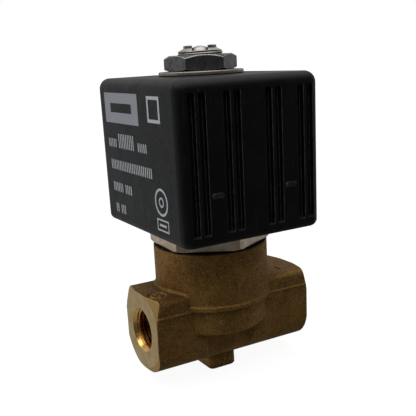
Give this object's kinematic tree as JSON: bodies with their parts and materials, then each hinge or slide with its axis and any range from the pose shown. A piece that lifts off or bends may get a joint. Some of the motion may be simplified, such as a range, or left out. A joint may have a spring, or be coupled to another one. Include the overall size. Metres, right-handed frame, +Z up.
{
  "type": "solenoid valve",
  "caption": "Two-port brass solenoid valve with a round neck, a hexagonal tube base and a block-shaped moulded coil held by a nut.",
  "frame": {"origin": "middle of the foot lug's underside, on the axis of the armature tube", "axes": "+Z up along the armature tube, +X along the port axis from the inlet to the outlet, -Y towards the coil's grooved face"},
  "size_m": [0.0547, 0.0675, 0.1014],
  "materials": {
    "forged_brass": "shot-blasted forging, machined end faces",
    "plated_steel": "turned and milled",
    "stainless_tube": "drawn tube",
    "core_steel": "turned ferritic stainless steel",
    "spring_steel": "drawn wire",
    "black_rubber": "moulded",
    "black_moulding": "satin moulded plastic",
    "spool_plastic": "moulded",
    "copper": "enamelled or bare copper",
    "yoke_steel": "pressed strip",
    "tinned_brass": "tinned sheet",
    "turned_brass": "turned"
  },
  "bodies": {
    "valve": {"valve_body": "forged_brass", "tube_base": "plated_steel", "flange_gasket": "black_rubber", "spigot_o_ring": "black_rubber", "guide_tube": "stainless_tube", "fixed_core": "core_steel", "shading_ring": "copper", "plunger_spring": "spring_steel", "coil_washer": "plated_steel", "coil_nut": "plated_steel"},
    "plunger": {"plunger": "core_steel", "seal_disc": "black_rubber"},
    "coil": {"coil_housing": "black_moulding", "coil_bobbin": "spool_plastic", "coil_winding": "copper", "yoke_frame": "yoke_steel", "winding_leads": "copper", "power_blades": "tinned_brass", "earth_blade": "tinned_brass", "plug_screw_insert": "turned_brass", "coil_lower_seal": "black_rubber", "coil_upper_seal": "black_rubber"}
  },
  "joints": [
    {"name": "plunger_lift", "type": "slide", "parent": "valve", "child": "plunger", "axis": [0, 0, 1], "range_m": [0, 0.0016], "stiffness_N_per_m": 400, "springref_m": -0.006, "deforming": ["plunger_spring"]},
    {"name": "coil_swivel", "type": "hinge", "parent": "valve", "child": "coil", "pos_m": [0, 0, 0.0701], "axis": [0, 0, 1], "continuous": true}
  ]
}
